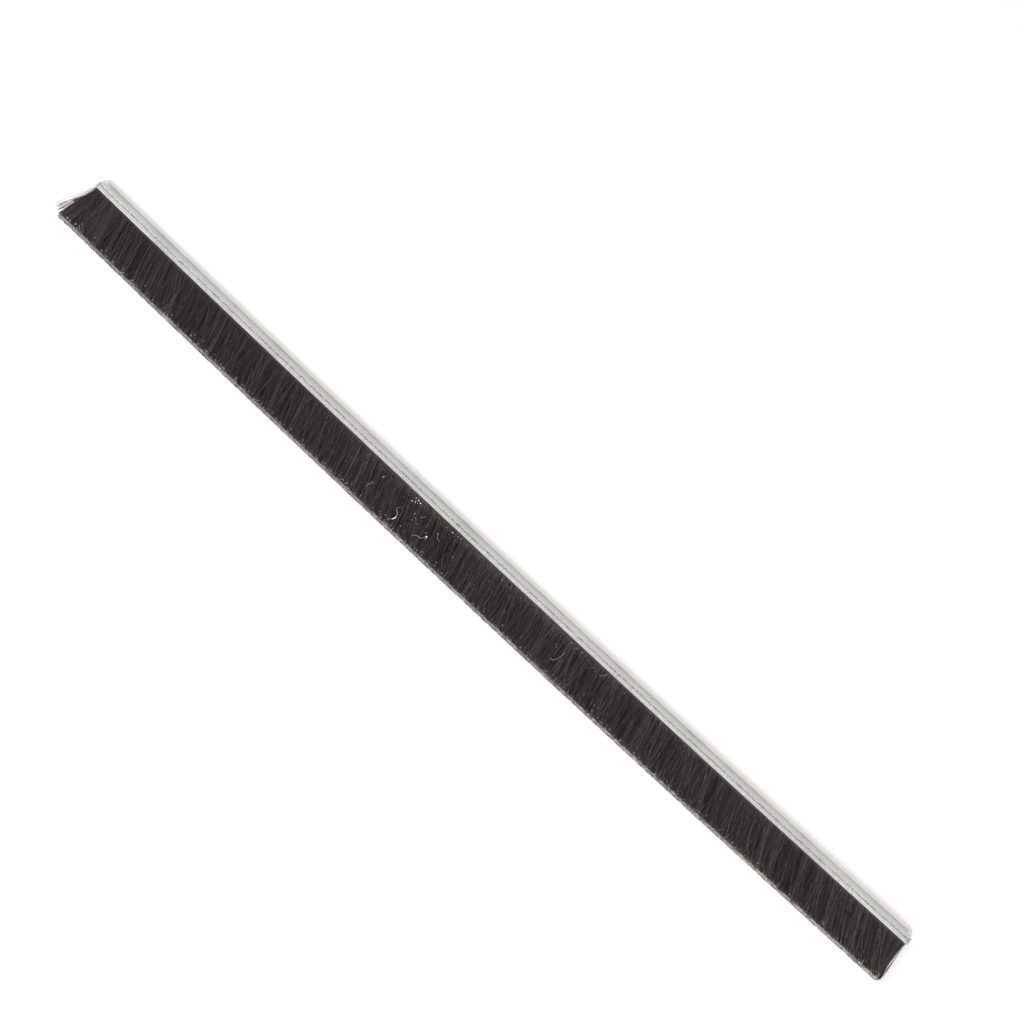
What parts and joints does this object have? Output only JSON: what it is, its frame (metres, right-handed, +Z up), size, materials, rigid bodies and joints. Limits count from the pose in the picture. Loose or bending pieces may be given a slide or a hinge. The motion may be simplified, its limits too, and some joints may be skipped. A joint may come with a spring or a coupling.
{
  "type": "brush seal strip",
  "caption": "Long flat sealing strip: dense black filament brush clenched in a slim metal channel that has a rear fixing flange.",
  "frame": {"origin": "on the floor under the middle of the strip's box, as it lies flat", "axes": "+X along the strip, +Y from the bristle tips towards the rear flange, +Z up through the strip's thickness"},
  "size_m": [1.0115, 0.0662, 0.0077],
  "materials": {
    "profile_metal": "mill finish, light grey",
    "wire_steel": "bright drawn wire",
    "filament": "black nylon filament, satin"
  },
  "bodies": {
    "root": {"channel_profile": "profile_metal", "core_wire": "wire_steel", "bristle_pack": "filament", "stray_bristle_1": "filament", "stray_bristle_2": "filament", "stray_bristle_3": "filament", "stray_bristle_4": "filament", "stray_bristle_5": "filament", "stray_bristle_6": "filament", "stray_bristle_7": "filament"}
  },
  "joints": []
}
